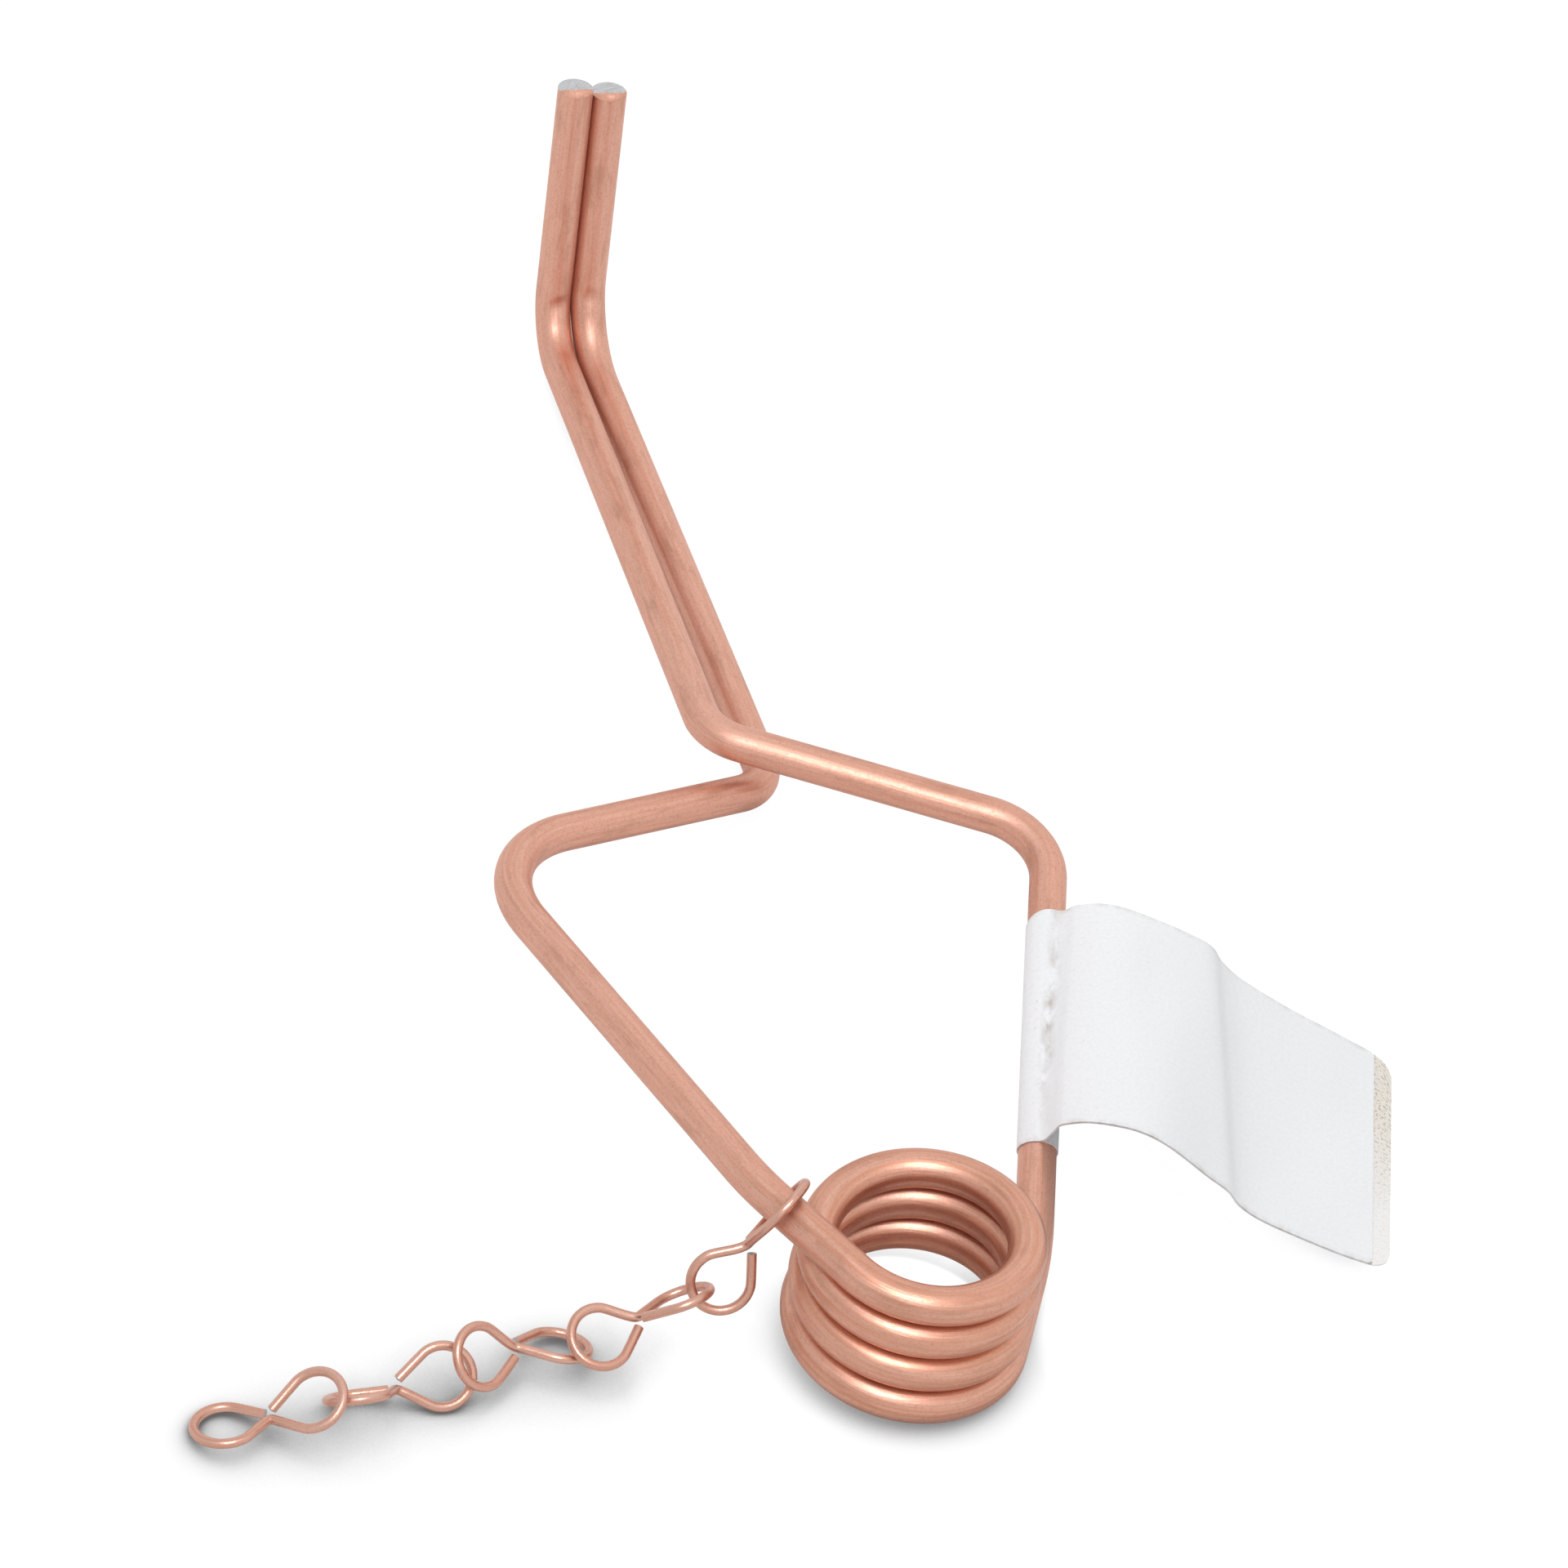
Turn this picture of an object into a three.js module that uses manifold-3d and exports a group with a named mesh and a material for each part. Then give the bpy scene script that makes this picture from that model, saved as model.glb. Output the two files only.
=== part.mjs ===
// Vole trap: a coil spring of thick wire whose two arms cross and end in a pair of jaws,
// with a paper label folded round one arm and a chain of five links on the other.
// Millimetres and degrees. Z is up, the floor is Z = 0, and +Y runs from the coil to the jaws.
// The dimensions below count X and Y from the foot of the coil's axis.

import * as THREE from "three";
import Module from "manifold-3d";

const manifold = await Module();
manifold.setup();

// Trap wire
const WIRE = 4.0;
const WIRE_SIDES = 12;
const END_CHAMFER = 0.4;
const START_GAP = 0.8;

// Coil: it winds clockwise as it climbs, and leans and narrows a little on the way up.
// Its wire is drawn slightly thinner, so that neighbouring turns keep clear of each other.
const COIL_WIRE = 3.6;
const COIL_SIDES = 10;
const COIL_STEPS_PER_TURN = 24;
const COIL_START = -24.2;
const COIL_SWEEP = 1208.4;
const COIL_RADIUS_BOTTOM = 11.35;
const COIL_RADIUS_TOP = 10.75;
const COIL_Z_BOTTOM = 1.26;
const COIL_Z_TOP = 16.2;
const COIL_LEAN_X = 0.72;
const COIL_LEAN_Y = 1.74;
const COIL_TILT = 0.02;

// Arms: the corners of each wire's middle line, each with the radius of its bend
const LEFT_ARM = [
  { at: [-8.9,-3.0,16.1] },
  { at: [-15.4, 9.8, 15.2], bend: 40 },
  { at: [-33.6, 64.4, 10.1], bend: 13.5 },
  { at: [3.9, 79.1, 3.3], bend: 5.7 },
  { at: [-0.55, 157.1, 1.9], bend: 9.5 },
  { at: [-1.2, 160.9, 36.1] },
];
const RIGHT_ARM = [
  { at: [10.9,-4.6,1.95] },
  { at: [16.4, 9.0, 2.1], bend: 40 },
  { at: [31.4, 64.4, 8.7], bend: 8.2 },
  { at: [-3.6, 81.0, 9.9], bend: 5.6 },
  { at: [-4.8, 157.3, 2.5], bend: 6.6 },
  { at: [-5.5, 160.4, 37.1] },
];
const BEND_STEPS = 8;

// Left arm's hinge: the coil's axis, leaning a little so that this arm passes under the other
const HINGE_AT = [0.4, 0.9, 8];
const HINGE_AXIS = [-0.04, 0, -1];

// Label: a paper band folded round the right arm, its halves glued into one flag
const LABEL_START = 13.2;
const LABEL_LENGTH = 32;
const LABEL_BORE_RADIUS = 2.3;
const LABEL_FOLD_RADIUS = 2.7;
const LABEL_THICKNESS = 0.5;
const LABEL_HEADING = -29;
const LABEL_ROWS = 10;
const RING_STEPS = 16;

// Where the flag leaves the ring, in degrees up from the heading, at its near and far edge
const FLAG_RISE_NEAR = 92;
const FLAG_RISE_FAR = 66;

// Lines along the flag, from the ring to the free end. Each has its distance out from the
// ring and its height above the floor, at the near edge and at the far edge.
const FLAG_LINES = [
  { near: [1.5, 8.4], far: [1.5, 10.4] },
  { near: [4.8, 10.6], far: [4.4, 12.1] },
  { near: [8.5, 11.4], far: [7.2, 12.4] },
  { near: [11, 11.3], far: [11, 11.9] },
  { near: [14, 10.3], far: [14, 11.5] },
  { near: [17.5, 8.4], far: [16.6, 11.0] },
  { near: [20.6, 6.7], far: [18.4, 9.4] },
  { near: [22.5, 5.2], far: [21, 7.6] },
  { near: [27.2, 3.8], far: [26.3, 5.7] },
  { near: [32.3, 3.2], far: [32, 4.1] },
  { near: [39, 2.9], far: [39, 2.2] },
];

// Chain: each link is one wire with a loop each way from its neck
const LINK_WIRE = 1.0;
const LINK_SIDES = 8;
const LINK_STEP = 1.1;
const LOOP_WIDTH = 6.2;
const NEAR_LOOP_LENGTH = 8.0;
const FAR_LOOP_LENGTH = 7.7;
const FIRST_LOOP_WIDTH = 7.0;
const FIRST_LOOP_LENGTH = 8.8;

// How each link lies: the neck, then heading, rise and roll of its loop towards the trap
// and of its loop away from the trap
const LINKS = [
  { neck: [-17.0, 4.6, 11.3], near: [20,46,-58], far: [-148, -50.5, -40] },
  { neck: [-28.3, 1.3, 5.2], near: [11, 15, 141], far: [-155, -6, -25] },
  { neck: [-40.9, 0.2, 3.1], near: [8.5, -12, -19.5], far: [-155, 13.5, -42] },
  { neck: [-53.8, -3.5, 2.1], near: [9.5, 7.5, 45], far: [-163.5, 10, -137] },
  { neck: [-67.2, -6.1, 1.9], near: [0, 31, 10.5], far: [178, -7, -166.5] },
];

const radians = THREE.MathUtils.degToRad;
const vector = (values) => new THREE.Vector3(...values);

// The arc that rounds one corner of a route
function roundCorner(before, corner, after, radius) {
  const back = before.clone().sub(corner).normalize();
  const on = after.clone().sub(corner).normalize();
  const half = back.angleTo(on) / 2;
  const middle = back.clone().add(on).normalize();
  const centre = corner.clone().addScaledVector(middle, radius / Math.sin(half));
  const start = corner.clone().addScaledVector(back, radius / Math.tan(half));
  const axis = on.clone().cross(back).normalize();
  const points = [];
  for (let i = 0; i <= BEND_STEPS; i++) {
    const turn = ((Math.PI - 2 * half) * i) / BEND_STEPS;
    points.push(start.clone().sub(centre).applyAxisAngle(axis, turn).add(centre));
  }
  return points;
}

// A wire's middle line, with every corner rounded and the first point moved along by the gap
function wireRoute(corners) {
  const at = corners.map((corner) => vector(corner.at));
  const last = at.length - 1;
  const ahead = at[1].clone().sub(at[0]).normalize();
  const points = [at[0].clone().addScaledVector(ahead, START_GAP)];
  for (let i = 1; i < last; i++) {
    points.push(...roundCorner(at[i - 1], at[i], at[i + 1], corners[i].bend));
  }
  points.push(at[last]);
  return points;
}

// Places an extra point close to each end, where the chamfer begins
function withChamfers(points, chamfer) {
  const last = points.length - 1;
  const inFromStart = points[1].clone().sub(points[0]).setLength(chamfer).add(points[0]);
  const inFromEnd = points[last - 1].clone().sub(points[last]).setLength(chamfer).add(points[last]);
  return [points[0], inFromStart, ...points.slice(1, last), inFromEnd, points[last]];
}

// Direction of the route at each point
function tangents(points) {
  return points.map((point, i) => {
    const next = points[Math.min(i + 1, points.length - 1)];
    const previous = points[Math.max(i - 1, 0)];
    return next.clone().sub(previous).normalize();
  });
}

// A closed tube along the points. Each ring is turned as little as possible from the last.
function tube(points, diameter, sides, chamfer = 0) {
  const route = chamfer > 0 ? withChamfers(points, chamfer) : points;
  const ahead = tangents(route);
  const across = new THREE.Vector3(0, 0, 1);
  if (Math.abs(ahead[0].z) > 0.9) {
    across.set(1, 0, 0);
  }
  const positions = [];
  route.forEach((point, i) => {
    across.addScaledVector(ahead[i], -across.dot(ahead[i])).normalize();
    const other = ahead[i].clone().cross(across);
    const atEnd = i === 0 || i === route.length - 1;
    const radius = diameter / 2 - (atEnd ? chamfer : 0);
    for (let k = 0; k < sides; k++) {
      const angle = (2 * Math.PI * (k + 0.5)) / sides;
      const corner = point.clone();
      corner.addScaledVector(across, radius * Math.cos(angle));
      corner.addScaledVector(other, radius * Math.sin(angle));
      positions.push(...corner.toArray());
    }
  });
  const geometry = new THREE.BufferGeometry();
  geometry.setAttribute("position", new THREE.Float32BufferAttribute(positions, 3));
  geometry.setIndex(tubeFaces(route.length, sides));
  return geometry;
}

// Triangles of a tube: its side, then its two flat ends
function tubeFaces(rings, sides) {
  const faces = [];
  for (let i = 0; i < rings - 1; i++) {
    for (let k = 0; k < sides; k++) {
      const a = i * sides + k;
      const b = i * sides + ((k + 1) % sides);
      faces.push(a, b, b + sides);
      faces.push(a, b + sides, a + sides);
    }
  }
  const end = (rings - 1) * sides;
  for (let k = 1; k < sides - 1; k++) {
    faces.push(0, k + 1, k);
    faces.push(end, end + k, end + k + 1);
  }
  return faces;
}

// Middle line of the coil, from its bottom end (share 0) to its top end (share 1)
function coilPoint(share) {
  const angle = radians(COIL_START - COIL_SWEEP * share);
  const radius = THREE.MathUtils.lerp(COIL_RADIUS_BOTTOM, COIL_RADIUS_TOP, share);
  const x = radius * Math.cos(angle);
  const y = radius * Math.sin(angle);
  const z = THREE.MathUtils.lerp(COIL_Z_BOTTOM, COIL_Z_TOP, share) + COIL_TILT * x;
  return new THREE.Vector3(x + COIL_LEAN_X * share, y + COIL_LEAN_Y * share, z);
}

function coilPoints() {
  const steps = Math.round((COIL_SWEEP / 360) * COIL_STEPS_PER_TURN);
  const points = [];
  for (let i = 0; i <= steps; i++) {
    points.push(coilPoint(i / steps));
  }
  return points;
}

// Least gap between the surfaces of points that are at least half a turn apart
function leastGap(points, diameter) {
  const apart = COIL_STEPS_PER_TURN / 2;
  let least = Infinity;
  for (let i = 0; i < points.length; i++) {
    for (let j = i + apart; j < points.length; j++) {
      least = Math.min(least, points[i].distanceTo(points[j]) - diameter);
    }
  }
  return least;
}

// Keeps the part of a closed geometry that is above the floor
function cutAtFloor(geometry) {
  const solid = new manifold.Manifold(
    new manifold.Mesh({
      numProp: 3,
      vertProperties: new Float32Array(geometry.attributes.position.array),
      triVerts: new Uint32Array(geometry.index.array),
    }),
  );
  const cut = solid.trimByPlane([0, 0, 1], 0).getMesh();
  const result = new THREE.BufferGeometry();
  result.setAttribute("position", new THREE.BufferAttribute(cut.vertProperties, 3));
  result.setIndex(new THREE.BufferAttribute(cut.triVerts, 1));
  return result;
}

// Distance out and height of flag line number i, at a share of the label's length
function flagLine(i, share) {
  const { near, far } = FLAG_LINES[THREE.MathUtils.clamp(i, 0, FLAG_LINES.length - 1)];
  const out = THREE.MathUtils.lerp(near[0], far[0], share);
  const height = THREE.MathUtils.lerp(near[1], far[1], share);
  return { out, height };
}

// A point of the flag on line number i, half the paper's thickness to one side of it
function flagPoint(fold, outward, i, share, side) {
  const { out, height } = flagLine(i, share);
  const before = flagLine(i - 1, share);
  const after = flagLine(i + 1, share);
  const slope = Math.atan2(after.height - before.height, after.out - before.out);
  const offset = (side * LABEL_THICKNESS) / 2;
  const point = fold.clone().addScaledVector(outward, out - offset * Math.sin(slope));
  point.z = height + offset * Math.cos(slope);
  return point;
}

// The label's cross-section at a share of its length: the outline runs in along the upper
// face of the flag, round the wire, and out along the lower face
function labelSection(share) {
  const from = vector(RIGHT_ARM[1].at);
  const along = vector(RIGHT_ARM[2].at).sub(from).normalize();
  const heading = radians(LABEL_HEADING);
  const outward = new THREE.Vector3(Math.cos(heading), Math.sin(heading), 0);
  const beside = outward.clone().addScaledVector(along, -outward.dot(along)).normalize();
  const up = beside.clone().cross(along);
  const middle = from.addScaledVector(along, LABEL_START + LABEL_LENGTH * share);
  const onRing = (angle, radius) =>
    middle
      .clone()
      .addScaledVector(beside, radius * Math.cos(angle))
      .addScaledVector(up, radius * Math.sin(angle));
  const rise = radians(THREE.MathUtils.lerp(FLAG_RISE_NEAR, FLAG_RISE_FAR, share));
  const join = Math.asin(LABEL_THICKNESS / 2 / LABEL_FOLD_RADIUS);
  const fold = onRing(rise, LABEL_FOLD_RADIUS);
  const lines = FLAG_LINES.map((_, i) => i);
  const upper = lines.map((i) => flagPoint(fold, outward, i, share, 1)).reverse();
  const lower = lines.map((i) => flagPoint(fold, outward, i, share, -1));
  const ring = [];
  const bore = [];
  for (let i = 0; i <= RING_STEPS; i++) {
    const turn = join + ((2 * Math.PI - 2 * join) * i) / RING_STEPS;
    ring.push(onRing(rise + turn, LABEL_FOLD_RADIUS));
    bore.push(onRing(rise - (2 * Math.PI * (i + 0.5)) / (RING_STEPS + 1), LABEL_BORE_RADIUS));
  }
  const outline = [...upper, ...ring, ...lower];
  const flat = (point) => new THREE.Vector2(point.dot(outward), point.z);
  const lid = THREE.ShapeUtils.triangulateShape(outline.map(flat), [bore.map(flat)]);
  return { outline, bore, lid };
}

// The label: its cross-sections joined from row to row, with a lid on the first and last
function labelGeometry() {
  const positions = [];
  const faces = [];
  const sections = [];
  for (let row = 0; row <= LABEL_ROWS; row++) {
    const section = labelSection(row / LABEL_ROWS);
    sections.push(section);
    [...section.outline, ...section.bore].forEach((point) => positions.push(...point.toArray()));
  }
  const corners = sections[0].outline.length;
  const count = corners + sections[0].bore.length;
  for (let row = 0; row < LABEL_ROWS; row++) {
    for (let k = 0; k < count; k++) {
      const first = k < corners ? 0 : corners;
      const loop = k < corners ? corners : count - corners;
      const a = row * count + k;
      const b = row * count + first + ((k + 1 - first) % loop);
      faces.push(a, a + count, b + count);
      faces.push(a, b + count, b);
    }
  }
  const end = LABEL_ROWS * count;
  sections[0].lid.forEach(([a, b, c]) => faces.push(a, b, c));
  sections[LABEL_ROWS].lid.forEach(([a, b, c]) => faces.push(end + a, end + c, end + b));
  const geometry = new THREE.BufferGeometry();
  geometry.setAttribute("position", new THREE.Float32BufferAttribute(positions, 3));
  geometry.setIndex(faces);
  return geometry;
}

// Axes of a loop: along it away from the neck, and across it towards its open strand
function loopAxes([heading, rise, roll]) {
  const along = new THREE.Vector3(1, 0, 0);
  along.applyAxisAngle(new THREE.Vector3(0, -1, 0), radians(rise));
  along.applyAxisAngle(new THREE.Vector3(0, 0, 1), radians(heading));
  const across = new THREE.Vector3(0, 0, 1).cross(along).normalize();
  across.applyAxisAngle(along, radians(roll));
  return { along, across };
}

// Middle line of one loop, from the open end beside the neck round to the neck
function loopPoints(neck, lie, length, width) {
  const { along, across } = loopAxes(lie);
  const radius = width / 2;
  const flat = [[0.4, 1.0]];
  for (let angle = 55; angle <= 310; angle += 17) {
    const turn = radians(angle);
    flat.push([length - radius - radius * Math.cos(turn), radius * Math.sin(turn)]);
  }
  flat.push([0.95, -0.7]);
  return flat.map(([a, b]) =>
    vector(neck).addScaledVector(along, a).addScaledVector(across, b),
  );
}

// One chain link: a loop to the neck, and on into the loop on the other side
function linkGeometry(link, isFirst) {
  const nearLength = isFirst ? FIRST_LOOP_LENGTH : NEAR_LOOP_LENGTH;
  const nearWidth = isFirst ? FIRST_LOOP_WIDTH : LOOP_WIDTH;
  const near = loopPoints(link.neck, link.near, nearLength, nearWidth);
  const far = loopPoints(link.neck, link.far, FAR_LOOP_LENGTH, LOOP_WIDTH).reverse();
  const curve = new THREE.CatmullRomCurve3([...near, vector(link.neck), ...far]);
  curve.curveType = "centripetal";
  const steps = Math.round(curve.getLength() / LINK_STEP);
  return tube(curve.getSpacedPoints(steps), LINK_WIRE, LINK_SIDES);
}

// Where the next link turns: the far end of the loop that it hangs in
function linkPivot(link) {
  const { along, across } = loopAxes(link.far);
  const at = vector(link.neck).addScaledVector(along, FAR_LOOP_LENGTH);
  return { at, axis: across };
}

const copper = { color: 0xc98f74, roughness: 0.4, metalness: 0.9 };
const paper = { color: 0xf0f0ee, roughness: 0.85, metalness: 0 };
const chainCopper = { color: 0xb9826a, roughness: 0.45, metalness: 0.9 };

const trap = new THREE.Group();

function addNode(name, geometry, look) {
  const mesh = new THREE.Mesh(geometry, new THREE.MeshStandardMaterial(look));
  mesh.name = name;
  trap.add(mesh);
}

const coil = coilPoints();
addNode("coil_spring", cutAtFloor(tube(coil, COIL_WIRE, COIL_SIDES)), copper);
addNode("left_arm", tube(wireRoute(LEFT_ARM), WIRE, WIRE_SIDES, END_CHAMFER), copper);
addNode("right_arm", tube(wireRoute(RIGHT_ARM), WIRE, WIRE_SIDES, END_CHAMFER), copper);
addNode("paper_label", labelGeometry(), paper);
LINKS.forEach((link, i) => {
  addNode(`chain_link_${i + 1}`, linkGeometry(link, i === 0), chainCopper);
});

// The finished part stands on the middle of the foot of its bounding box
const box = new THREE.Box3().setFromObject(trap);
const shift = new THREE.Vector3(-(box.min.x + box.max.x) / 2, -(box.min.y + box.max.y) / 2, -box.min.z);
trap.position.copy(shift);

const show = (point) => point.toArray().map((value) => value.toFixed(3)).join(" ");
console.log("least gap between coil turns", leastGap(coil, COIL_WIRE).toFixed(3));
console.log("size", show(box.getSize(new THREE.Vector3())));
console.log("shift", show(shift));
console.log("hinge at", show(vector(HINGE_AT).add(shift)), "axis", show(vector(HINGE_AXIS).normalize()));
LINKS.forEach((link, i) => {
  const { at, axis } = linkPivot(link);
  console.log(`pivot after link ${i + 1} at`, show(at.add(shift)), "axis", show(axis));
});

export default trap;
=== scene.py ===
import math

import bpy
from mathutils import Matrix, Quaternion, Vector, noise


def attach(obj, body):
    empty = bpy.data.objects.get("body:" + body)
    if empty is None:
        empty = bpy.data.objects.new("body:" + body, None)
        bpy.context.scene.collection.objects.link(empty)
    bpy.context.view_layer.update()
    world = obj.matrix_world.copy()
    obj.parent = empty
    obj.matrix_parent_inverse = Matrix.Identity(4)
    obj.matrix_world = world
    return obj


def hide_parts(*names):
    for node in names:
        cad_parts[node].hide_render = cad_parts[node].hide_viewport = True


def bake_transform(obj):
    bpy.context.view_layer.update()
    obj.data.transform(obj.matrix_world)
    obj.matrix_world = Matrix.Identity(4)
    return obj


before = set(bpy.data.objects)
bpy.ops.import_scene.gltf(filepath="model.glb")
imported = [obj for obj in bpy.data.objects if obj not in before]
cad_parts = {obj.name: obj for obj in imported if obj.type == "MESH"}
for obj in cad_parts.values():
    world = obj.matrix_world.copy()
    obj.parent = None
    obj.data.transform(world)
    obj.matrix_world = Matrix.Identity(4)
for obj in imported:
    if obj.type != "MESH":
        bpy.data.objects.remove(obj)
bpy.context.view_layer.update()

MM = 0.001
UP = Vector((0, 0, 1))

# Sizes and places are in millimetres, with X and Y counted from the foot of the coil's
# axis. This is where that foot lies in the finished part.
COIL_FOOT = Vector((6.059, -74.911, 0.0))

# Trap wire, from the coil's bottom end to its top end. An arm's corners are given with the
# radius of each bend.
WIRE_RADIUS = 2.05
WIRE_SIDES = 40
WIRE_STEP = 0.35
COIL_START = math.radians(-24.2)
COIL_SWEEP = math.radians(1208.4)
COIL_RADIUS_BOTTOM = 11.03
COIL_RADIUS_TOP = 10.6
COIL_PITCH = 4.14
COIL_LEAN = Vector((0.72, 1.74, 0.0))
COIL_TILT = 0.02
LEFT_ARM = [
    ((-8.7, -3.1, 15.7), 0),
    ((-15.4, 9.8, 14.9), 40),
    ((-33.6, 64.4, 10.1), 13.5),
    ((3.9, 79.1, 3.32), 5.7),
    ((-0.76, 157.25, 2.1), 9.5),
    ((-1.44, 160.70, 36.1), 0),
]
RIGHT_ARM = [
    ((10.09, -4.53, 2.25), 0),
    ((16.4, 9.0, 2.15), 40),
    ((31.44, 64.42, 8.74), 8.2),
    ((-3.6, 81.03, 9.92), 5.6),
    ((-4.82, 157.32, 2.46), 6.6),
    ((-5.55, 160.41, 36.9), 0),
]

# Chain: the neck of each link, then heading, rise and roll in degrees of its two loops
LINK_RADIUS = 0.51
LINK_SIDES = 20
LINK_STEP = 0.25
LOOP_WIDTH = 6.2
NEAR_LOOP_LENGTH = 8.0
FAR_LOOP_LENGTH = 7.7
FIRST_LOOP_WIDTH = 7.0
FIRST_LOOP_LENGTH = 8.8
LINKS = [
    ((-17.0, 4.6, 11.3), (20, 46, -53), (-148, -50.5, -40)),
    ((-28.3, 1.3, 5.2), (11, 15, 141), (-155, -6, -25)),
    ((-40.9, 0.2, 3.14), (8.5, -12, -19.5), (-155, 13.5, -42)),
    ((-53.8, -3.5, 2.14), (9.5, 7.5, 45), (-163.5, 10, -137)),
    ((-67.15, -6.1, 1.94), (0, 31, 10.5), (178, -7, -166.5)),
]


def place(point):
    """A point counted from the coil's foot, in millimetres, as metres in the finished part."""
    return (Vector(point) + COIL_FOOT) * MM


# Routes


def straight(a, b, step):
    """Points from a up to, but without, b."""
    count = max(1, round((b - a).length / step))
    return [a.lerp(b, i / count) for i in range(count)]


def corner_arc(before, corner, after, radius, step):
    """Points of the arc that rounds a corner."""
    back = (before - corner).normalized()
    on = (after - corner).normalized()
    half = back.angle(on) / 2
    middle = (back + on).normalized()
    centre = corner + middle * (radius / math.sin(half))
    start = corner + back * (radius / math.tan(half))
    axis = on.cross(back).normalized()
    sweep = math.pi - 2 * half
    count = max(4, round(sweep * radius / step))
    return [
        Quaternion(axis, sweep * i / count) @ (start - centre) + centre
        for i in range(count + 1)
    ]


def bent_route(corners, step):
    """Middle line of a bent wire through the corners, from its first to its last."""
    at = [Vector(point) for point, _ in corners]
    route = [at[0]]
    for i in range(1, len(at) - 1):
        arc = corner_arc(at[i - 1], at[i], at[i + 1], corners[i][1], step)
        route += straight(route[-1], arc[0], step)[1:] + arc
    return route + straight(route[-1], at[-1], step)[1:] + [at[-1]]


def coil_route(step):
    """Middle line of the coil, clockwise from its bottom end to its top end."""
    count = round(COIL_SWEEP * COIL_RADIUS_BOTTOM / step)
    route = []
    for i in range(count + 1):
        share = i / count
        angle = COIL_START - COIL_SWEEP * share
        radius = COIL_RADIUS_BOTTOM + (COIL_RADIUS_TOP - COIL_RADIUS_BOTTOM) * share
        around = Vector((math.cos(angle), math.sin(angle), 0)) * radius
        height = WIRE_RADIUS + COIL_PITCH * COIL_SWEEP / math.tau * share
        height += COIL_TILT * around.x
        route.append(around + COIL_LEAN * share + UP * height)
    return route


def tangents(route):
    """The direction of the route at each of its points."""
    last = len(route) - 1
    return [
        (route[min(i + 1, last)] - route[max(i - 1, 0)]).normalized()
        for i in range(len(route))
    ]


def sections(route):
    """At each point: the distance so far, the point and two directions across the route."""
    ahead = tangents(route)
    across = ahead[0].orthogonal()
    distance = 0.0
    found = []
    for i, point in enumerate(route):
        if i:
            distance += (point - route[i - 1]).length
            across = ahead[i - 1].rotation_difference(ahead[i]) @ across
        across = (across - ahead[i] * across.dot(ahead[i])).normalized()
        found.append((distance, point, across, ahead[i].cross(across)))
    return found


# Meshes

SHARP_FROM = math.radians(50)
CAP_RINGS = 7
# More than any wire's radius, so that the whole face of a cut has the look of a cut
WHOLE_FACE = 9.0


def make_object(name, points, faces, coordinates, coordinate_name, looks, face_looks=None):
    """A mesh in metres, with a place on its own surface stored for its material."""
    mesh = bpy.data.meshes.new(name)
    mesh.from_pydata([place(p) for p in points], [], faces)
    mesh.polygons.foreach_set("use_smooth", [True] * len(faces))
    stored = mesh.attributes.new(coordinate_name, "FLOAT_VECTOR", "POINT")
    stored.data.foreach_set("vector", [c for place_on in coordinates for c in place_on])
    for look in looks:
        mesh.materials.append(look)
    if face_looks:
        mesh.polygons.foreach_set("material_index", face_looks)
    mesh.validate()
    mesh.set_sharp_from_angle(angle=SHARP_FROM)
    made = bpy.data.objects.new(name, mesh)
    bpy.context.scene.collection.objects.link(made)
    return made


class Tube:
    """The points and faces of a round wire through the given sections."""

    def __init__(self, rings, radius, sides, dents=()):
        self.rings = rings
        self.radius = radius
        self.turns = [math.tau * k / sides for k in range(sides)]
        self.points, self.coordinates, self.faces, self.face_looks = [], [], [], []
        for distance, middle, across, other in rings:
            for angle in self.turns:
                out = across * math.cos(angle) + other * math.sin(angle)
                depth = sum(dent(middle + out * radius, out) for dent in dents)
                self.add_point(middle + out * (radius - depth), distance, angle, radius)
        for i in range(len(rings) - 1):
            for k in range(sides):
                a = i * sides + k
                b = i * sides + (k + 1) % sides
                self.add_face((a, b, b + sides, a + sides), 0)

    def add_point(self, point, distance, angle, radius):
        self.points.append(point)
        self.coordinates.append((distance, radius * math.cos(angle), radius * math.sin(angle)))

    def add_face(self, corners, look):
        self.faces.append(corners)
        self.face_looks.append(look)

    def close(self, at_end, cut, cut_front):
        """Closes one end: plain where the wire runs on, and sheared where it is cut. The
        sheared face has the second look as far as cut_front towards the front."""
        distance, middle, across, other = self.rings[-1 if at_end else 0]
        outward = across.cross(other) * (1 if at_end else -1)
        sides = len(self.turns)
        first = (len(self.rings) - 1) * sides if at_end else 0
        ring = list(range(first, first + sides))
        for j in range(1, CAP_RINGS):
            share = 1 - j / CAP_RINGS
            inner = []
            for angle in self.turns:
                out = across * math.cos(angle) + other * math.sin(angle)
                point = middle + out * (self.radius * share)
                if cut:
                    point = point + outward * cut(out, share)
                inner.append(len(self.points))
                self.add_point(point, distance, angle, self.radius * share)
            for k in range(sides):
                quad = (ring[k], ring[(k + 1) % sides], inner[(k + 1) % sides], inner[k])
                toward_front = -sum((self.points[v] - middle).y for v in quad) / 4
                look = 1 if cut and toward_front < cut_front else 0
                self.add_face(quad if at_end else quad[::-1], look)
            ring = inner
        centre = len(self.points)
        self.add_point(middle + outward * (cut(across, 0) if cut else 0), distance, 0.0, 0.0)
        for k in range(sides):
            triangle = (ring[k], ring[(k + 1) % sides], centre)
            self.add_face(triangle if at_end else triangle[::-1], 1 if cut else 0)


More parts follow.
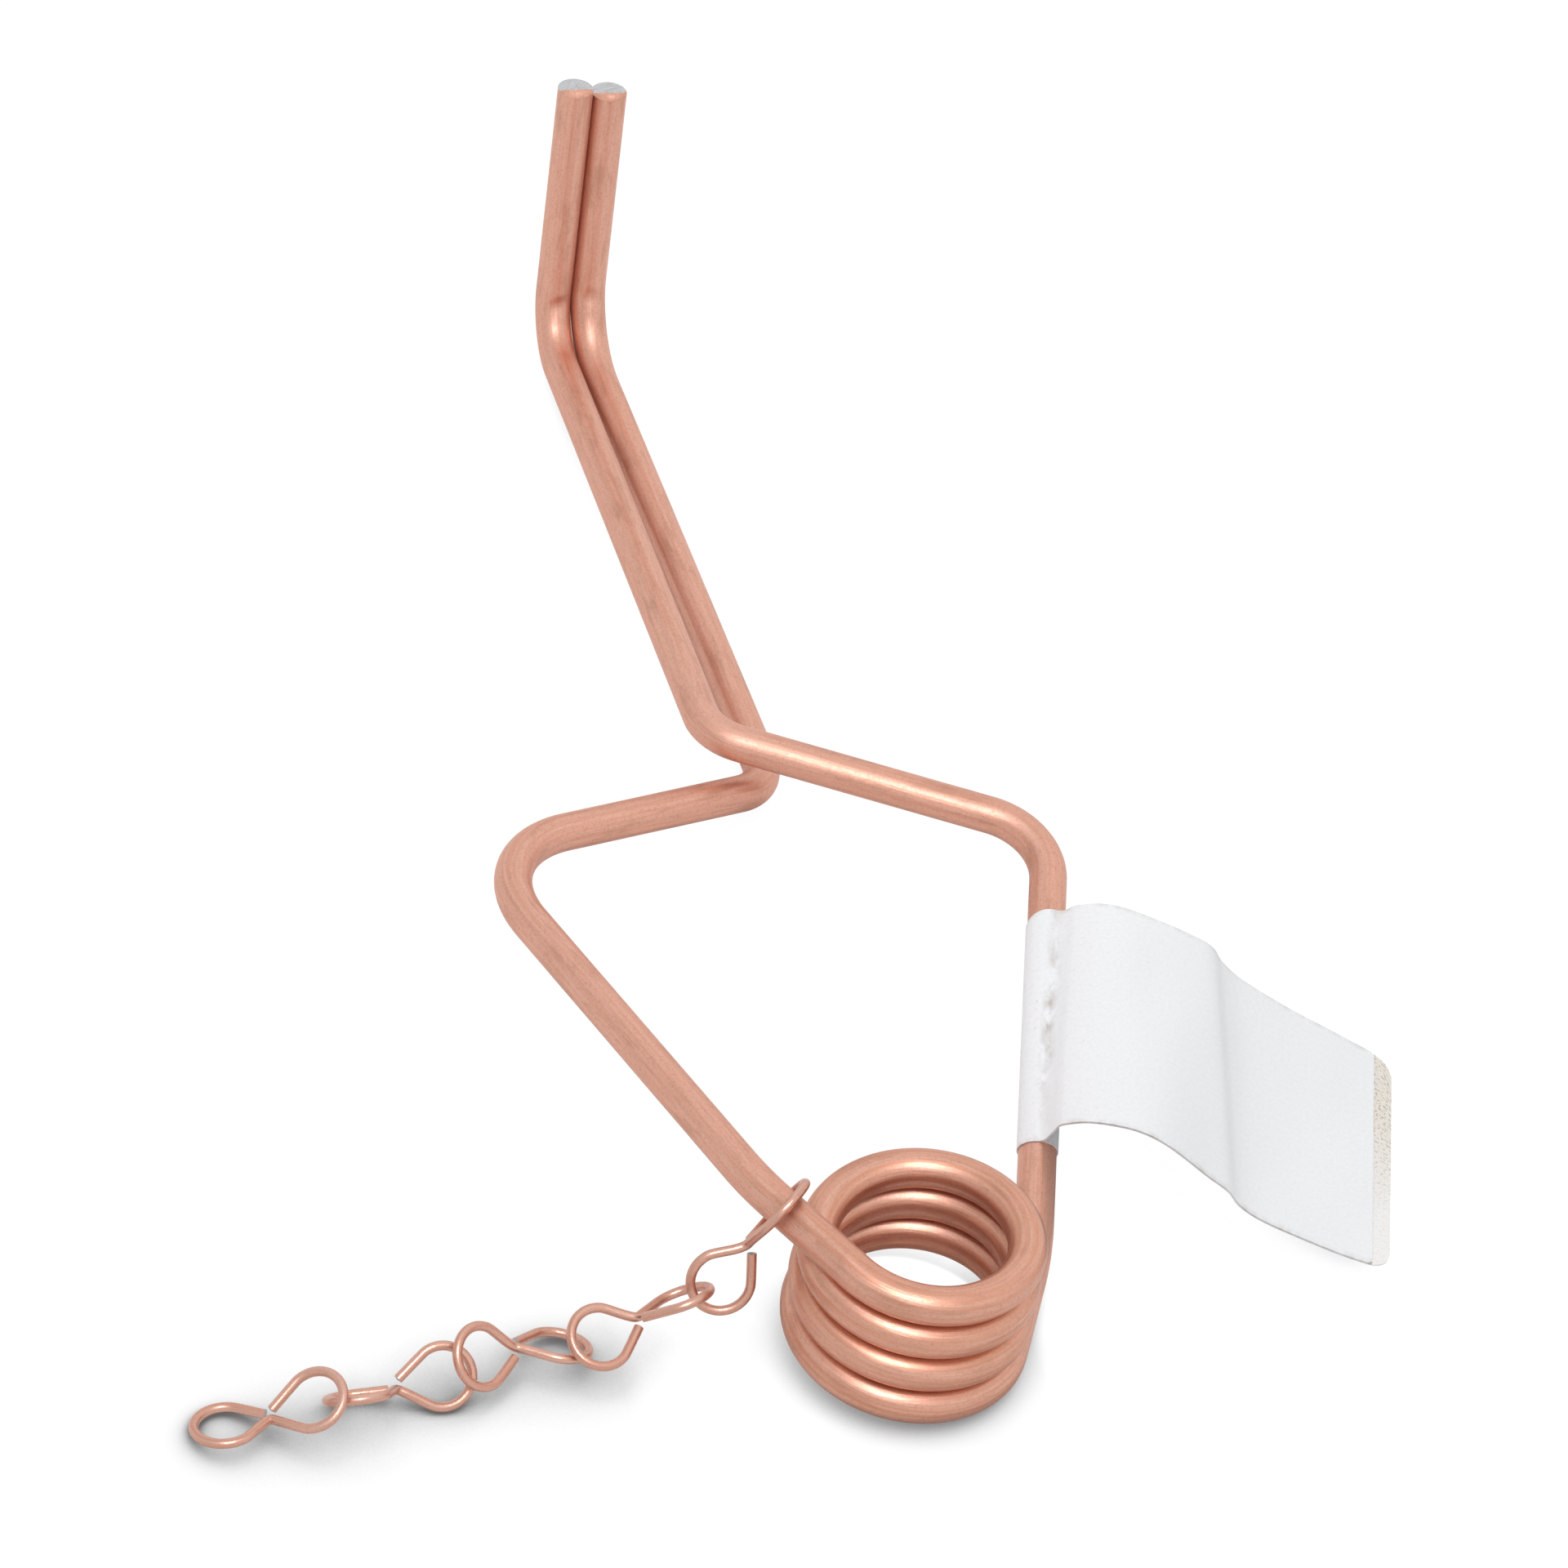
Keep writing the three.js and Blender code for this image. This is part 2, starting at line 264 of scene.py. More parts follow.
def tube_object(
    name, rings, radius, sides, looks, dents=(), cut_start=None, cut_end=None,
    cut_front=WHOLE_FACE,
):
    """A wire through the sections. A cut end gets a sheared face of the second look."""
    tube = Tube(rings, radius, sides, dents)
    tube.close(False, cut_start, cut_front)
    tube.close(True, cut_end, cut_front)
    return make_object(
        name, tube.points, tube.faces, tube.coordinates, "wire_at", looks, tube.face_looks
    )


# Materials


class Nodes:
    """Short calls for building the nodes of a material or of the world."""

    def __init__(self, owner, main):
        owner.use_nodes = True
        self.tree = owner.node_tree
        self.main = self.tree.nodes[main]

    def add(self, kind, **settings):
        node = self.tree.nodes.new(kind)
        for key, value in settings.items():
            if key in node.inputs:
                node.inputs[key].default_value = value
            else:
                setattr(node, key, value)
        return node

    def link(self, source, target):
        self.tree.links.new(source, target)

    def give(self, socket, value):
        """Sets a socket to a number or a colour, or links another socket to it."""
        if isinstance(value, tuple):
            socket.default_value = (*value, 1)
        elif isinstance(value, (int, float)):
            socket.default_value = value
        else:
            self.link(value, socket)

    def parts(self, vector):
        """The X and Y of a vector."""
        apart = self.add("ShaderNodeSeparateXYZ")
        self.link(vector, apart.inputs[0])
        return apart.outputs["X"], apart.outputs["Y"]

    def stored(self, name):
        """The stored place on the surface, in millimetres."""
        return self.add("ShaderNodeAttribute", attribute_name=name).outputs["Vector"]

    def place_on(self, name, scale):
        """The stored place on the surface, stretched by scale."""
        mapping = self.add("ShaderNodeMapping")
        mapping.inputs["Scale"].default_value = scale
        self.link(self.stored(name), mapping.inputs["Vector"])
        return mapping.outputs["Vector"]

    def noise(self, vector, scale, detail, roughness):
        node = self.add("ShaderNodeTexNoise")
        node.inputs["Scale"].default_value = scale
        node.inputs["Detail"].default_value = detail
        node.inputs["Roughness"].default_value = roughness
        self.link(vector, node.inputs["Vector"])
        return node.outputs["Fac"]

    def ramp(self, value, low, high, to_low=0.0, to_high=1.0):
        """Rises evenly from to_low at low to to_high at high, and is level outside them."""
        node = self.add("ShaderNodeMapRange")
        self.give(node.inputs["Value"], value)
        self.give(node.inputs["From Min"], low)
        self.give(node.inputs["From Max"], high)
        self.give(node.inputs["To Min"], to_low)
        self.give(node.inputs["To Max"], to_high)
        return node.outputs["Result"]

    def math(self, operation, a, b=0.0):
        node = self.add("ShaderNodeMath", operation=operation)
        self.give(node.inputs[0], a)
        self.give(node.inputs[1], b)
        return node.outputs[0]

    def mix(self, share, a, b):
        """Colour a where the share is 0, and b where it is 1."""
        node = self.add("ShaderNodeMix", data_type="RGBA")
        self.give(node.inputs[0], share)
        self.give(node.inputs[6], a)
        self.give(node.inputs[7], b)
        return node.outputs[2]

    def bump(self, height, distance, strength, below=None):
        node = self.add("ShaderNodeBump")
        node.inputs["Strength"].default_value = strength
        node.inputs["Distance"].default_value = distance
        self.link(height, node.inputs["Height"])
        if below is not None:
            self.link(below, node.inputs["Normal"])
        return node.outputs["Normal"]


# Copper. It grows paler from a little inside the coil's ends to a little outside them. The
# paler colour is painted light: the arms are painted lighter than the coil's shaded turns.
METAL = 0.88
WIRE_BASE = (0.69, 0.318, 0.208)
WIRE_LIGHT = (0.77, 0.435, 0.33)
WIRE_DARK = (0.44, 0.21, 0.135)
CHAIN_BASE = (0.66, 0.34, 0.25)
CHAIN_LIGHT = (0.74, 0.46, 0.37)
CHAIN_DARK = (0.46, 0.24, 0.17)
SPECK_COLOUR = (0.16, 0.09, 0.07)
# Painted light: this paler copper stands for the arms being more lit than the coil
PAINTED_LIGHT_COPPER = (0.84, 0.50, 0.40)
PAINTED_LIGHT_SHARE = 0.34
PALE_DULLING = 0.09
PALE_FROM = -5.0
PALE_FULL = 20.0

# How fine each pattern is along the wire and twice across it, or in the paper's two
# directions
STREAKS = (0.035, 2.2, 2.2)
FINE_STREAKS = (0.25, 7.0, 7.0)
BLOTCHES = (0.12, 0.5, 0.5)
SPECKS = (1.0, 4.0, 4.0)
EVEN = (1.0, 1.0, 1.0)
ACROSS = (1.0, 0.8, 6.0)
FLAT = (1.0, 1.0, 0.0)
SMUDGES = (0.5, 0.25, 0.0)

STEEL_DARK = (0.50, 0.51, 0.52)
STEEL_LIGHT = (0.66, 0.67, 0.68)
STEEL_STAIN = (0.55, 0.40, 0.30)


def copper(name, base, light, dark, roughness=0.37, patches=0.5, paler_beyond=None):
    """Copper-plated drawn wire: streaks along it, fine grain, dull patches and dark specks.
    It grows paler and duller along the wire outside the given pair of distances. The paler
    colour is painted light."""
    material = bpy.data.materials.new(name)
    n = Nodes(material, "Principled BSDF")
    streaks = n.noise(n.place_on("wire_at", STREAKS), 1.0, 4.0, 0.6)
    fine = n.noise(n.place_on("wire_at", FINE_STREAKS), 1.0, 3.0, 0.6)
    grain = n.noise(n.place_on("wire_at", EVEN), 3.6, 4.0, 0.7)
    blotch = n.noise(n.place_on("wire_at", BLOTCHES), 1.0, 4.0, 0.65)
    specks = n.noise(n.place_on("wire_at", SPECKS), 1.0, 4.0, 0.7)
    colour = n.mix(n.ramp(streaks, 0.38, 0.62), base, light)
    streak_dulling = n.ramp(streaks, 0.3, 0.7, -0.05, 0.06)
    grain_dulling = n.ramp(grain, 0.3, 0.7, roughness - 0.04, roughness + 0.04)
    dulling = n.math("ADD", streak_dulling, grain_dulling)
    if paler_beyond:
        first, last = paler_beyond
        along, _ = n.parts(n.stored("wire_at"))
        off_middle = n.math("ABSOLUTE", n.math("SUBTRACT", along, (first + last) / 2))
        half = (last - first) / 2
        pale = n.ramp(off_middle, half + PALE_FROM, half + PALE_FULL)
        # Painted light: the colour grows paler away from the coil, as if the arms were more
        # lit
        colour = n.mix(n.math("MULTIPLY", pale, PAINTED_LIGHT_SHARE), colour, PAINTED_LIGHT_COPPER)
        dulling = n.math("ADD", dulling, n.math("MULTIPLY", pale, PALE_DULLING))
    colour = n.mix(n.math("MULTIPLY", n.ramp(fine, 0.48, 0.7), 0.27), colour, dark)
    colour = n.mix(n.math("MULTIPLY", n.ramp(blotch, 0.52, 0.72), patches), colour, dark)
    colour = n.mix(n.math("MULTIPLY", n.ramp(grain, 0.5, 0.66), 0.32), colour, dark)
    colour = n.mix(n.math("MULTIPLY", n.ramp(specks, 0.68, 0.80), 0.55), colour, SPECK_COLOUR)
    n.link(colour, n.main.inputs["Base Color"])
    n.link(dulling, n.main.inputs["Roughness"])
    n.main.inputs["Metallic"].default_value = METAL
    fine_bump = n.bump(fine, 0.00004, 0.5)
    n.link(n.bump(grain, 0.00003, 0.5, fine_bump), n.main.inputs["Normal"])
    return material


def cut_steel(name):
    """The sheared face of a wire: bright steel with score marks one way across."""
    material = bpy.data.materials.new(name)
    n = Nodes(material, "Principled BSDF")
    scores = n.noise(n.place_on("wire_at", ACROSS), 1.0, 3.0, 0.6)
    stains = n.noise(n.place_on("wire_at", EVEN), 0.9, 3.0, 0.5)
    colour = n.mix(n.ramp(scores, 0.35, 0.65), STEEL_DARK, STEEL_LIGHT)
    colour = n.mix(n.math("MULTIPLY", n.ramp(stains, 0.56, 0.7), 0.5), colour, STEEL_STAIN)
    n.link(colour, n.main.inputs["Base Color"])
    n.main.inputs["Metallic"].default_value = 0.85
    n.main.inputs["Roughness"].default_value = 0.5
    n.link(n.bump(scores, 0.00008, 0.6), n.main.inputs["Normal"])
    return material


# Wires

chain_copper = copper(
    "plated_chain", CHAIN_BASE, CHAIN_LIGHT, CHAIN_DARK, roughness=0.32, patches=0.25
)
steel = cut_steel("cut_steel")

CUT_SLOPE = 0.3
CUT_FRONT = 0.2
CUT_NOTCH = 0.35


def sheared(out, share):
    """The face of a cut end: level at the back, and falling away towards the front, where
    the shears have dragged copper over the steel."""
    front = -out.y * share * WIRE_RADIUS - CUT_FRONT
    side = out.x * share * WIRE_RADIUS
    notch = CUT_NOTCH * math.exp(-((front - 0.9) ** 2) / 0.3 - side**2 / 0.9)
    return -CUT_SLOPE * max(0.0, front) - (notch if front > 0 else 0.0)


# Where the bending tool has pressed the inside of each jaw's bend
PRESS_MARKS = [Vector((-4.9, 155.3, 8.5)), Vector((-0.85, 155.3, 9.6))]
PRESS_ALONG = Vector((0, 0.35, 0.94))
PRESS_DEPTH = 0.30
PRESS_EDGE = 0.12


def pressed(at, out):
    """How deep the marks go at a place on the wire: a dent with a raised edge above it."""
    depth = 0.0
    for mark in PRESS_MARKS:
        away = at - mark
        along = away.dot(PRESS_ALONG)
        sideways = away.x
        near = math.exp(-((along / 0.9) ** 2) - (sideways / 0.85) ** 2)
        edge = math.exp(-(((along - 1.5) / 0.6) ** 2) - (sideways / 1.0) ** 2)
        facing = max(0.0, -out.y)
        depth += facing * (PRESS_DEPTH * near - PRESS_EDGE * edge)
    return depth


right_route = bent_route(RIGHT_ARM, WIRE_STEP)[::-1]
coil_middle = coil_route(WIRE_STEP)
left_route = bent_route(LEFT_ARM, WIRE_STEP)
whole = sections(right_route + coil_middle[1:] + left_route[1:])
coil_from = len(right_route) - 1
coil_to = coil_from + len(coil_middle) - 1

wire_copper = copper(
    "plated_wire", WIRE_BASE, WIRE_LIGHT, WIRE_DARK,
    paler_beyond=(whole[coil_from][0], whole[coil_to][0]),
)
right_arm = tube_object(
    "right_arm_wire", whole[: coil_from + 1], WIRE_RADIUS, WIRE_SIDES,
    [wire_copper, steel], dents=[pressed], cut_start=sheared, cut_front=CUT_FRONT,
)
coil = tube_object(
    "coil_wire", whole[coil_from : coil_to + 1], WIRE_RADIUS, WIRE_SIDES, [wire_copper]
)
left_arm = tube_object(
    "left_arm_wire", whole[coil_to:], WIRE_RADIUS, WIRE_SIDES,
    [wire_copper, steel], dents=[pressed], cut_end=sheared, cut_front=CUT_FRONT,
)


# Chain

# Where a loop starts and ends beside the neck, and the angles of its round part in degrees
LOOP_OPEN_END = (0.4, 1.0)
LOOP_NECK_END = (0.95, -0.7)
LOOP_ANGLES = range(55, 311, 17)
CURVE_STEPS = 16
LINK_BULGE = 0.12


def loop_axes(lie):
    """The directions along and across a loop that lies at heading, rise and roll."""
    heading, rise, roll = (math.radians(value) for value in lie)
    along = Quaternion((0, -1, 0), rise) @ Vector((1, 0, 0))
    along = Quaternion(UP, heading) @ along
    across = Quaternion(along, roll) @ UP.cross(along).normalized()
    return along, across


def loop_corners(neck, lie, length, width):
    """Middle line of one loop, from the open end beside the neck round to the neck."""
    along, across = loop_axes(lie)
    radius = width / 2
    flat = [LOOP_OPEN_END]
    for angle in LOOP_ANGLES:
        turn = math.radians(angle)
        flat.append((length - radius - radius * math.cos(turn), radius * math.sin(turn)))
    flat.append(LOOP_NECK_END)
    return [Vector(neck) + along * a + across * b for a, b in flat]


def smooth_route(corners, step):
    """A smooth curve through the corners, resampled evenly."""
    ends = [corners[0] * 2 - corners[1], *corners, corners[-1] * 2 - corners[-2]]
    dense = []
    for i in range(1, len(ends) - 2):
        before, a, b, after = ends[i - 1 : i + 3]
        for k in range(CURVE_STEPS):
            t = k / CURVE_STEPS
            dense.append(
                (a * 2 + (b - before) * t + (before * 2 - a * 5 + b * 4 - after) * t * t
                 + (a * 3 - before - b * 3 + after) * t * t * t) / 2
            )
    dense.append(corners[-1])
    length = sum((b - a).length for a, b in zip(dense, dense[1:]))
    count = round(length / step)
    even, walked, target = [dense[0]], 0.0, length / count
    for a, b in zip(dense, dense[1:]):
        piece = (b - a).length
        while walked + piece >= target * len(even) and len(even) < count:
            even.append(a.lerp(b, (target * len(even) - walked) / piece))
        walked += piece
    return even + [dense[-1]]


def link_route(link, first):
    """Middle line of one link: its near loop, the neck and its far loop."""
    neck, near, far = link
    length = FIRST_LOOP_LENGTH if first else NEAR_LOOP_LENGTH
    width = FIRST_LOOP_WIDTH if first else LOOP_WIDTH
    near_half = loop_corners(neck, near, length, width)
    far_half = loop_corners(neck, far, FAR_LOOP_LENGTH, LOOP_WIDTH)[::-1]
    return smooth_route([*near_half, Vector(neck), *far_half], LINK_STEP)


def small_cut(out, share):
    """The face of a link's cut end, which bulges a little in its middle."""
    return LINK_BULGE * (1 - share)


links = []
for number, link in enumerate(LINKS, start=1):
    rings = sections(link_route(link, number == 1))
    links.append(
        tube_object(
            f"chain_wire_{number}", rings, LINK_RADIUS, LINK_SIDES,
            [chain_copper, steel], cut_start=small_cut, cut_end=small_cut,
        )
    )


# Label: where it starts along the wire, its size, and how its two layers end
LABEL_FROM = 13.2
LABEL_LENGTH = 31.9
LABEL_OUTWARD = Vector((0.876, -0.482, 0)).normalized()
LABEL_FRONT_REACH = 37.0
LABEL_BACK_REACH = 39.0
FRONT_CORNER = 0.3
BACK_CORNER = 2.4
PAPER = 0.13
PAPER_GAP = 0.03
# The angle round the wire at which the layers leave it, at the near and the far edge
CREASE_NEAR = math.radians(92)
CREASE_FAR = math.radians(66)
CREASE_REACH = 1.5
WRAP_SKEW_NEAR = 0.6
WRAP_SKEW_FAR = 1.6

# The flag's height at distances out from the wire, along its near and its far edge
FLAG_NEAR = [
    (0, 5.8), (1, 7.9), (2, 9.1), (4.8, 10.6), (8.5, 11.45), (11, 11.4), (13.5, 10.6),
    (18, 8.2), (20.6, 6.9), (21.8, 5.6), (24, 4.5), (27.2, 3.75), (32.3, 3.2), (39.2, 2.9),
]
FLAG_FAR = [
    (0, 9.2), (1, 10), (2.1, 10.9), (4.4, 12.1), (7.2, 12.45), (11, 11.95), (14, 11.6),
    (16.6, 11.1), (17.6, 10.4), (18.4, 9.3), (21, 7.5), (26.3, 5.7), (32, 4.1), (39.2, 2.2),
]
LABEL_ROWS = 64
LABEL_STEP = 0.4
WRAP_STEPS = 44
WRAP_RADIUS = WIRE_RADIUS + PAPER_GAP + PAPER / 2
RIPPLE = 0.25
RIPPLE_OUT = 0.13
RIPPLE_ALONG = 0.09
RIPPLE_SEED = 3.0


def curve_through(knots, x):
    """A smooth curve through knots with rising x."""
    for i in range(len(knots) - 1):
        (x0, y0), (x1, y1) = knots[i], knots[i + 1]
        if x <= x1 or i == len(knots) - 2:
            xa, ya = knots[max(i - 1, 0)]
            xb, yb = knots[min(i + 2, len(knots) - 1)]
            slope0 = (y1 - ya) / (x1 - xa)
            slope1 = (yb - y0) / (xb - x0)
            width = x1 - x0
            t = (x - x0) / width
            return (
                y0 * (2 * t**3 - 3 * t**2 + 1) + slope0 * width * (t**3 - 2 * t**2 + t)
                + y1 * (-2 * t**3 + 3 * t**2) + slope1 * width * (t**3 - t**2)
            )


wire_a = Vector(RIGHT_ARM[1][0])
wire_b = Vector(RIGHT_ARM[2][0])
wire_along = (wire_b - wire_a).normalized()
wire_side = (LABEL_OUTWARD - wire_along * LABEL_OUTWARD.dot(wire_along)).normalized()
wire_up = wire_side.cross(wire_along)


def label_profile():
    """The band seen along the wire, as (layer, place): from the top layer's far edge over
    the wire and round it, and back out to the bottom layer's far edge."""
    profile = []
    steps = round(LABEL_FRONT_REACH / LABEL_STEP)
    for i in range(steps, 0, -1):
        profile.append(("top", LABEL_FRONT_REACH * i / steps))
    for i in range(WRAP_STEPS + 1):
        profile.append(("wrap", i / WRAP_STEPS))
    steps = round(LABEL_BACK_REACH / LABEL_STEP)
    for i in range(1, steps + 1):
        profile.append(("bottom", LABEL_BACK_REACH * i / steps))
    return profile


def flag_height(out, share):
    """The flag's height at a distance out from the wire and a share of its length."""
    knots = [
        (a + (c - a) * share, b + (d - b) * share)
        for (a, b), (c, d) in zip(FLAG_NEAR, FLAG_FAR)
    ]
    return curve_through(knots, out)


def label_point(layer, value, row):
    """Middle of the paper at a place of the profile and a share of the label's length."""
    crease_angle = CREASE_NEAR + (CREASE_FAR - CREASE_NEAR) * row
    if layer == "wrap":
        angle = crease_angle + math.tau * value
        around = (1 - math.cos(math.tau * value)) / 2
        start = WRAP_SKEW_NEAR * around
        end = LABEL_LENGTH - WRAP_SKEW_FAR * around
        middle = wire_a + wire_along * (LABEL_FROM + start + (end - start) * row)
        out = wire_side * math.cos(angle) + wire_up * math.sin(angle)
        return middle + out * WRAP_RADIUS
    reach = LABEL_FRONT_REACH if layer == "top" else LABEL_BACK_REACH
    corner = FRONT_CORNER if layer == "top" else BACK_CORNER
    into = max(0.0, value - (reach - corner))
    margin = corner - math.sqrt(max(corner**2 - into**2, 0.0))
    along = LABEL_LENGTH / 2 + (row - 0.5) * (LABEL_LENGTH - 2 * margin)
    middle = wire_a + wire_along * (LABEL_FROM + along)
    crease = middle + WRAP_RADIUS * (
        wire_side * math.cos(crease_angle) + wire_up * math.sin(crease_angle)
    )
    point = crease + LABEL_OUTWARD * value
    off_crease = min(1.0, value / CREASE_REACH)
    height = flag_height(value, along / LABEL_LENGTH)
    point.z += (height - point.z) * off_crease
    point.z += (PAPER + PAPER_GAP) / 2 * (1 if layer == "top" else -1)
    ripple_at = Vector((value * RIPPLE_OUT, along * RIPPLE_ALONG, RIPPLE_SEED))
    point.z += RIPPLE * off_crease * noise.noise(ripple_at)
    return point


def label_object(look):
    """The paper band as one closed sheet: an outer and an inner skin, and their edges."""
    profile = label_profile()
    count = len(profile)
    grid = [
        [label_point(layer, value, row / LABEL_ROWS) for layer, value in profile]
        for row in range(LABEL_ROWS + 1)
    ]
    points, coordinates, faces = [], [], []
    for side in (1, -1):
        for row, line in enumerate(grid):
            for i, point in enumerate(line):
                along = line[min(i + 1, count - 1)] - line[max(i - 1, 0)]
                over = grid[min(row + 1, LABEL_ROWS)][i] - grid[max(row - 1, 0)][i]
                normal = over.cross(along).normalized()
                points.append(point + normal * (side * PAPER / 2))
                layer, value = profile[i]
                if layer == "wrap":
                    value *= -math.tau * WRAP_RADIUS
                coordinates.append((value, row / LABEL_ROWS * LABEL_LENGTH, 0.0))
    sheet = (LABEL_ROWS + 1) * count
    for row in range(LABEL_ROWS):
        for i in range(count - 1):
            a = row * count + i
            quad = (a, a + 1, a + count + 1, a + count)
            faces.append(quad)
            faces.append(tuple(v + sheet for v in quad[::-1]))
    for row in range(LABEL_ROWS):
        for i, flip in ((0, False), (count - 1, True)):
            a, b = row * count + i, (row + 1) * count + i
            quad = (a, b, b + sheet, a + sheet)
            faces.append(quad[::-1] if flip else quad)
    for i in range(count - 1):
        for row, flip in ((0, True), (LABEL_ROWS, False)):
            a = row * count + i
            quad = (a, a + 1, a + 1 + sheet, a + sheet)
            faces.append(quad[::-1] if flip else quad)
    return make_object("label_paper", points, faces, coordinates, "label_at", [look])


PAPER_DARK = (0.79, 0.80, 0.82)
PAPER_LIGHT = (0.83, 0.84, 0.855)
CREASE_DIRT = (0.45, 0.40, 0.36)
NEAR_DIRT = (0.45, 0.42, 0.38)
EDGE_DIRT = (0.47, 0.42, 0.37)
PAPER_SPECK = (0.35, 0.33, 0.31)
GLUE_PALE = (0.83, 0.82, 0.81)
GLUE_YELLOW = (0.76, 0.72, 0.66)
GLUE_BROWN = (0.36, 0.28, 0.19)
DIRTIEST_AT = 17.0
EDGE_WIDTH = 0.7
STRIP_EDGE = 0.05


def paper_look():
    """White paper with dirt in the crease by the wire, along its edges and in specks. The
    strip beyond the front layer is glue, browner towards the far edge."""
    material = bpy.data.materials.new("label_paper")
    n = Nodes(material, "Principled BSDF")
    reach, along = n.parts(n.stored("label_at"))
    even = n.place_on("label_at", FLAT)
    fibre = n.noise(even, 2.5, 4.0, 0.6)
    smudge = n.noise(n.place_on("label_at", SMUDGES), 1.0, 4.0, 0.6)
    dirt = n.noise(even, 1.6, 3.0, 0.6)
    specks = n.noise(even, 4.0, 2.0, 0.5)
    fine = n.noise(even, 3.2, 3.0, 0.6)
    colour = n.mix(n.ramp(fibre, 0.35, 0.65), PAPER_DARK, PAPER_LIGHT)
    smudged = n.ramp(smudge, 0.42, 0.62)
    off_crease = n.math("ABSOLUTE", reach)
    crease = n.math("MULTIPLY", n.ramp(off_crease, 0.1, 1.0, 1.0, 0.0), smudged)
    off_dirtiest = n.math("ABSOLUTE", n.math("SUBTRACT", along, DIRTIEST_AT))
    dirtiness = n.ramp(off_dirtiest, 4.0, 11.0, 0.85, 0.3)
    colour = n.mix(n.math("MULTIPLY", crease, dirtiness), colour, CREASE_DIRT)
    near_crease = n.ramp(off_crease, 2.0, 9.0, 1.0, 0.0)
    near_crease = n.math("MULTIPLY", near_crease, n.ramp(dirt, 0.60, 0.75))
    colour = n.mix(n.math("MULTIPLY", near_crease, 0.3), colour, NEAR_DIRT)
    off_centre = n.math("ABSOLUTE", n.math("SUBTRACT", along, LABEL_LENGTH / 2))
    edge = n.ramp(off_centre, LABEL_LENGTH / 2 - EDGE_WIDTH, LABEL_LENGTH / 2)
    edge = n.math("MULTIPLY", edge, smudged)
    colour = n.mix(n.math("MULTIPLY", edge, 0.45), colour, EDGE_DIRT)
    colour = n.mix(n.math("MULTIPLY", n.ramp(specks, 0.72, 0.78), 0.5), colour, PAPER_SPECK)
    upper = n.ramp(along, 8.0, 22.0)
    brown = n.math("MULTIPLY", n.ramp(fine, 0.53, 0.62), n.ramp(upper, 0.0, 1.0, 0.18, 0.85))
    glue = n.mix(brown, n.mix(upper, GLUE_PALE, GLUE_YELLOW), GLUE_BROWN)
    strip = n.ramp(reach, LABEL_FRONT_REACH - STRIP_EDGE, LABEL_FRONT_REACH + STRIP_EDGE)
    colour = n.mix(strip, colour, glue)
    n.link(colour, n.main.inputs["Base Color"])
    n.main.inputs["Roughness"].default_value = 0.55
    n.link(n.bump(fibre, 0.00003, 0.3), n.main.inputs["Normal"])
    return material


label = label_object(paper_look())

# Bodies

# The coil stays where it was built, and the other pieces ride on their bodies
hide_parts("coil_spring")
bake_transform(coil)
for piece, node, body, slot in (
    (left_arm, "left_arm", "left_arm_body", "plated_wire"),
    (right_arm, "right_arm", "trap", "plated_wire"),
    (label, "paper_label", "trap", "label_paper"),
):
    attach(piece, body)
    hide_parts(node)
for number, piece in enumerate(links, start=1):
    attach(piece, f"link_{number}_body")
    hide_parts(f"chain_link_{number}")

# Floor, in metres

FLOOR_HALF = 3.0
FLOOR_PALE = (0.84, 0.84, 0.84)
WHITE_SHARE = 0.93
# A strength of a little over 1 makes up for the share that isn't white of its own
WHITE = 1.05
BORE_WHITE = 1.07
DARKEST = 0.12

# The shade passes from the chain's to the coil's between these two X
CHAIN_UP_TO = -0.024
COIL_FROM = -0.014
SHADE_REACH_AT_CHAIN = 0.009
SHADE_REACH = 0.0065
# How open the floor has to lie to be white, and how much less open it is at the darkest
OPEN_AT_CHAIN = 0.97
OPEN_AT_COIL = 0.78
SPAN_AT_CHAIN = 0.47
SPAN_AT_COIL = 0.58
# To the right of the coil and behind it, the floor is white almost up to the trap
RIGHT_FROM = 0.020
RIGHT_FULL = 0.026
BEHIND_FROM = -0.045
BEHIND_FULL = -0.030
AWAY_OPENING = 0.40
# The part of the floor seen through the coil, a little behind the coil's foot
BORE_FLOOR = place((0.8, 2.0, 0.0))
BORE_CLEAR = 0.0098
BORE_SHADED = 0.0110


